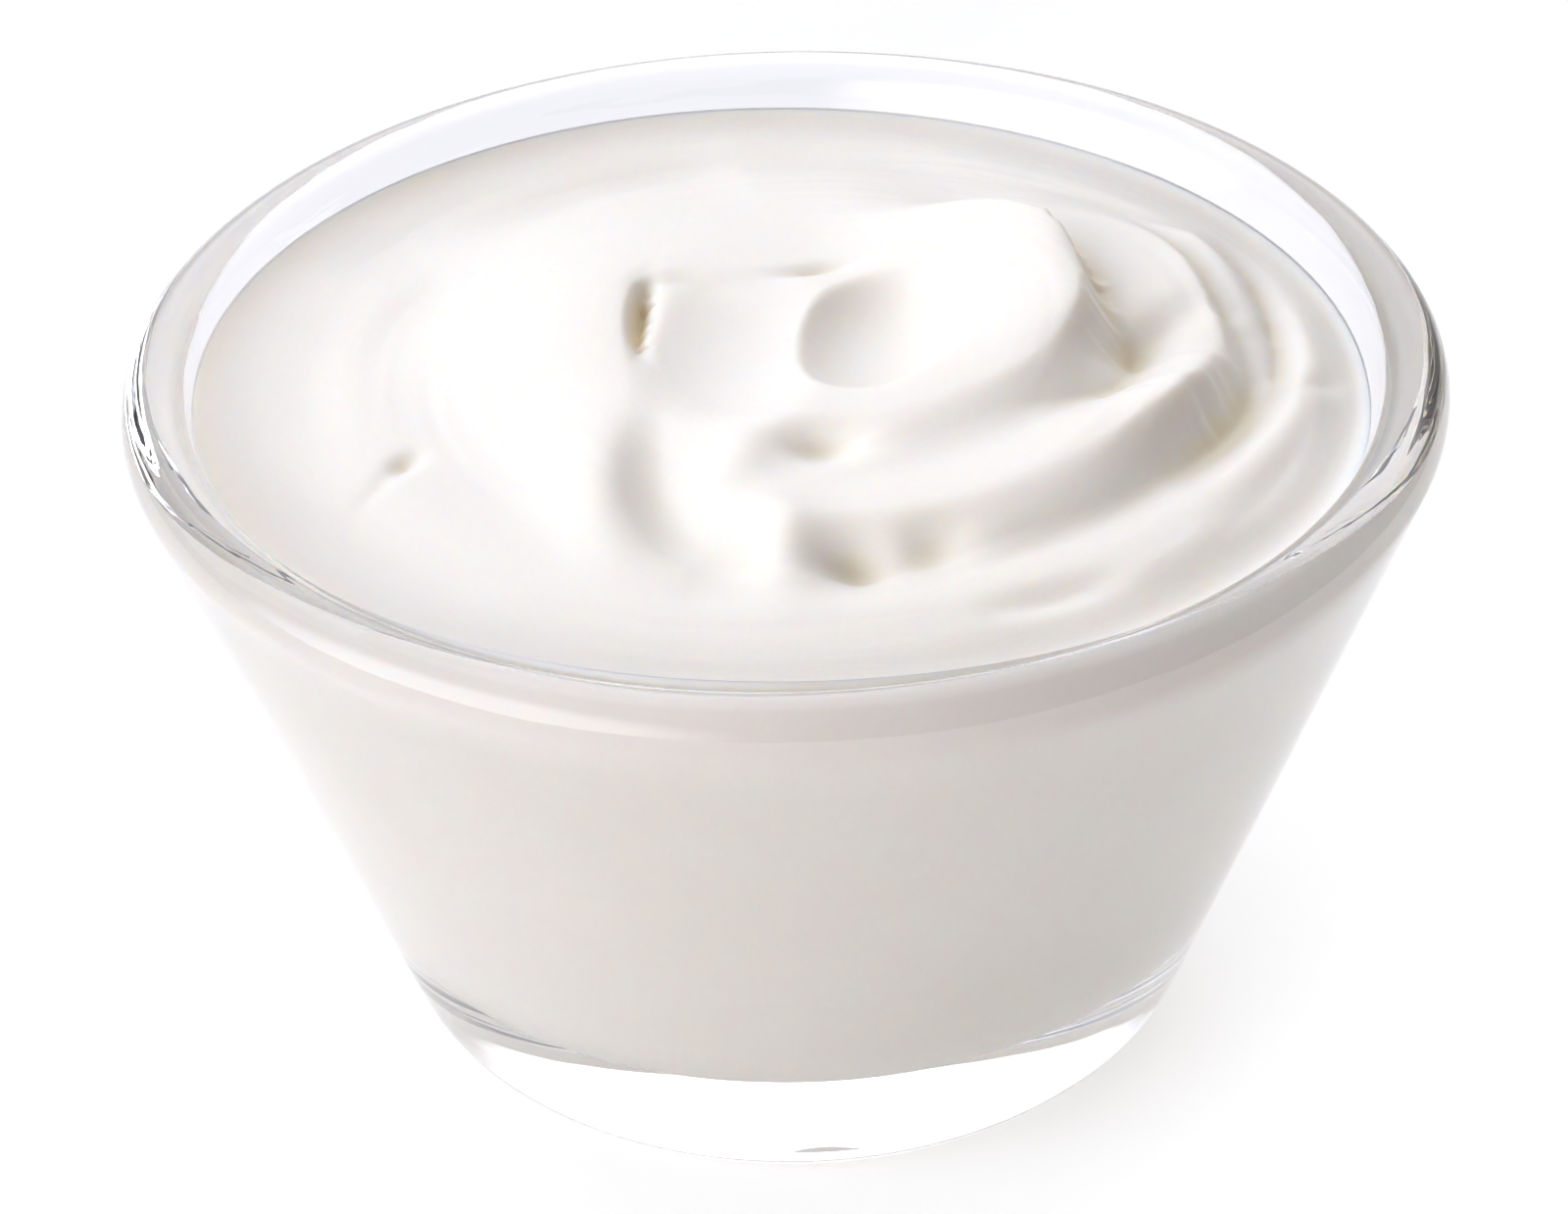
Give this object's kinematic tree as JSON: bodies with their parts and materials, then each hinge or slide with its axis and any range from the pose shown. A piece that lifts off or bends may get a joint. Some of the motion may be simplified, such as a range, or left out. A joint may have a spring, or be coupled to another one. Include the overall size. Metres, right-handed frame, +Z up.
{
  "type": "bowl of sour cream",
  "caption": "Thick clear glass dip bowl, a cone with a full round rim and a heavy base, filled nearly to the rim with sour cream that a spoon has turned into deep spiral folds round one eye",
  "frame": {"origin": "centre of the bowl's flat foot, on the surface it stands on", "axes": "+Z up along the bowl's axis; the picture looks from -Y and down, with the swirl's lip at +X"},
  "size_m": [0.11, 0.11, 0.0658],
  "materials": {
    "clear_glass": "clear, colourless pressed glass, fire polished, 5.7 mm thick",
    "sour_cream": "thick sour cream, warm white, moist satin sheen, light scatters a little way in"
  },
  "bodies": {
    "root": {"glass_bowl": "clear_glass", "sour_cream": "sour_cream"}
  },
  "joints": []
}
